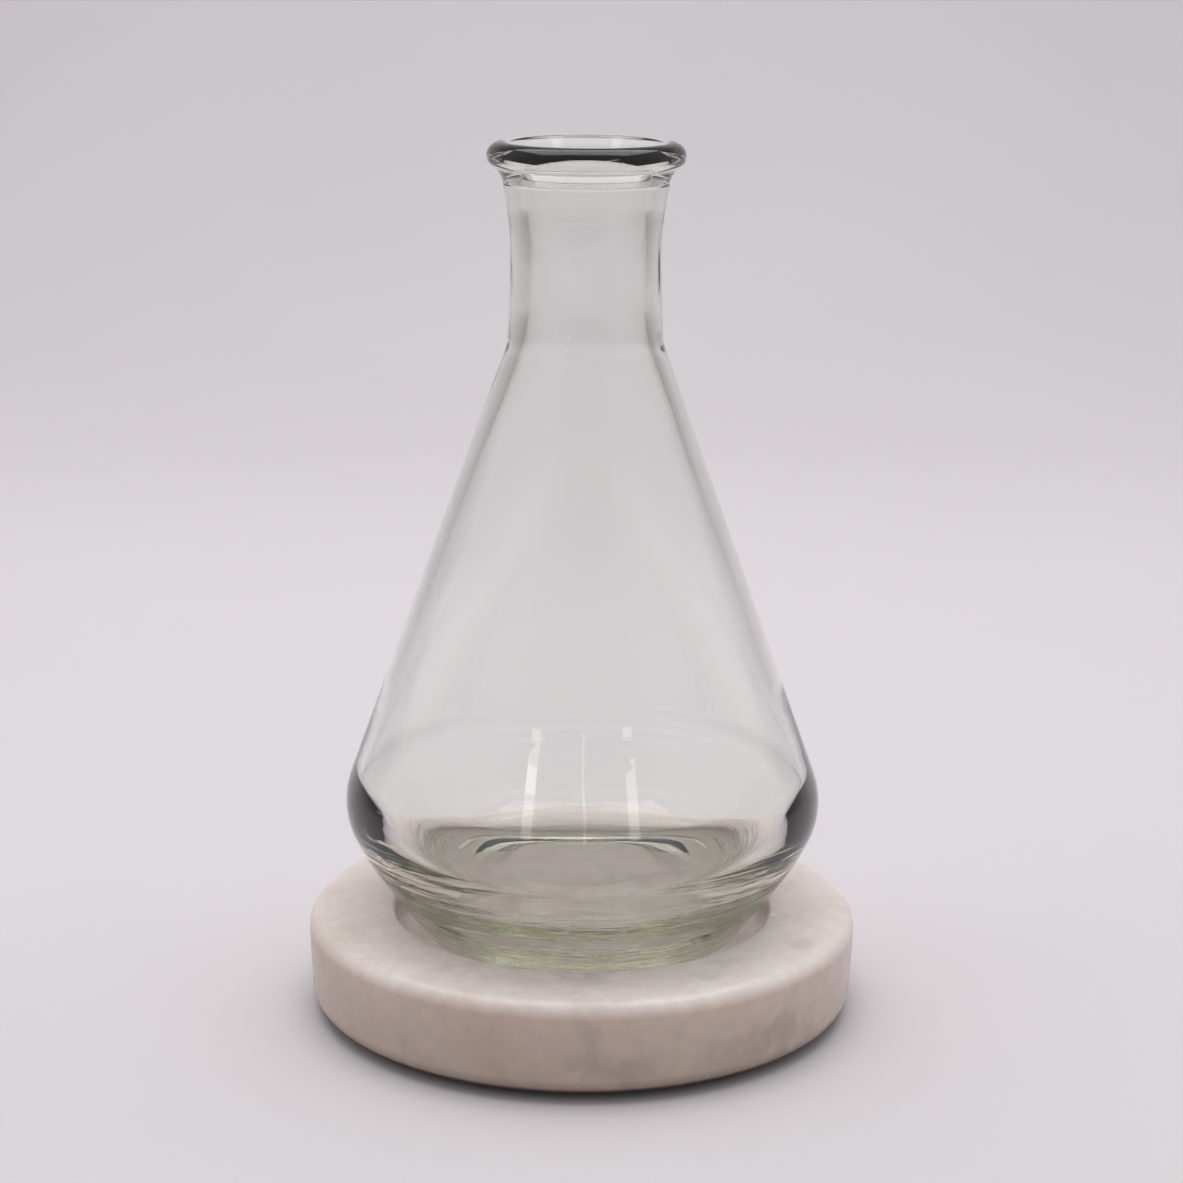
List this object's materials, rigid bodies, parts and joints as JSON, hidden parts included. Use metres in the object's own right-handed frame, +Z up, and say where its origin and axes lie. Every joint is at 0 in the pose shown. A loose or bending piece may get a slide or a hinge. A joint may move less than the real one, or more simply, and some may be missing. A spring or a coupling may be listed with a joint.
{
  "type": "conical laboratory flask on a stone base",
  "caption": "Clear glass conical flask with a rolled lip, standing loose in the turned recess of a round stone base.",
  "frame": {"origin": "on the common axis of flask and base, at the plane that the base's pads stand on", "axes": "+Z up along the axis of the flask and the round base, which are one axis; X and Y are free because both are round, with the pads on the diagonals"},
  "size_m": [0.1, 0.1, 0.1568],
  "materials": {
    "clear_glass": "polished, faint grey-green tint in thick places",
    "pale_marble": "honed satin, pale cream with soft grey veins",
    "pad_rubber": "matte"
  },
  "bodies": {
    "base": {"marble_base": "pale_marble", "foot_pad_front_left": "pad_rubber", "foot_pad_front_right": "pad_rubber", "foot_pad_back_left": "pad_rubber", "foot_pad_back_right": "pad_rubber"},
    "flask_body": {"flask": "clear_glass"}
  },
  "joints": [
    {"name": "flask_lift", "type": "slide", "parent": "base", "child": "flask_body", "axis": [0, 0, 1], "range_m": [0, 0.08]}
  ]
}
